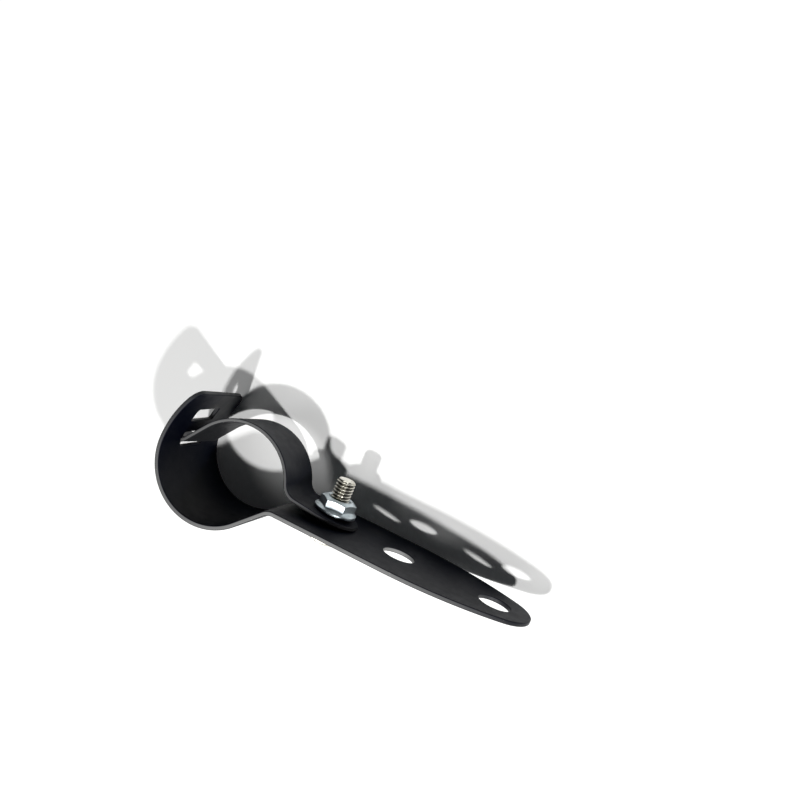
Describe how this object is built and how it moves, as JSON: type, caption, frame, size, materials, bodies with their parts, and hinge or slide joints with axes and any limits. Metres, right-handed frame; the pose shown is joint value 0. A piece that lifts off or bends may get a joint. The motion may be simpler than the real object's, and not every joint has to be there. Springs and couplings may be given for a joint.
{
  "type": "headlight mounting bracket",
  "caption": "Bent steel arm with a clamp band for a fork tube, a hooked strap closed by a flange bolt and nut, and round holes for a lamp bolt.",
  "frame": {"origin": "on the axis of the clamp band, halfway up its width", "axes": "+X along the arm to its tip, +Y to the strap's side of the arm, +Z along the fork tube"},
  "size_m": [0.1241, 0.0377, 0.038],
  "materials": {
    "powder_coat": "satin black powder coat",
    "bolt_zinc": "bright zinc plate",
    "nut_zinc": "clear zinc plate"
  },
  "bodies": {
    "root": {"arm_band": "powder_coat", "clamp_strap": "powder_coat", "flange_bolt": "bolt_zinc", "flange_nut": "nut_zinc"}
  },
  "joints": []
}
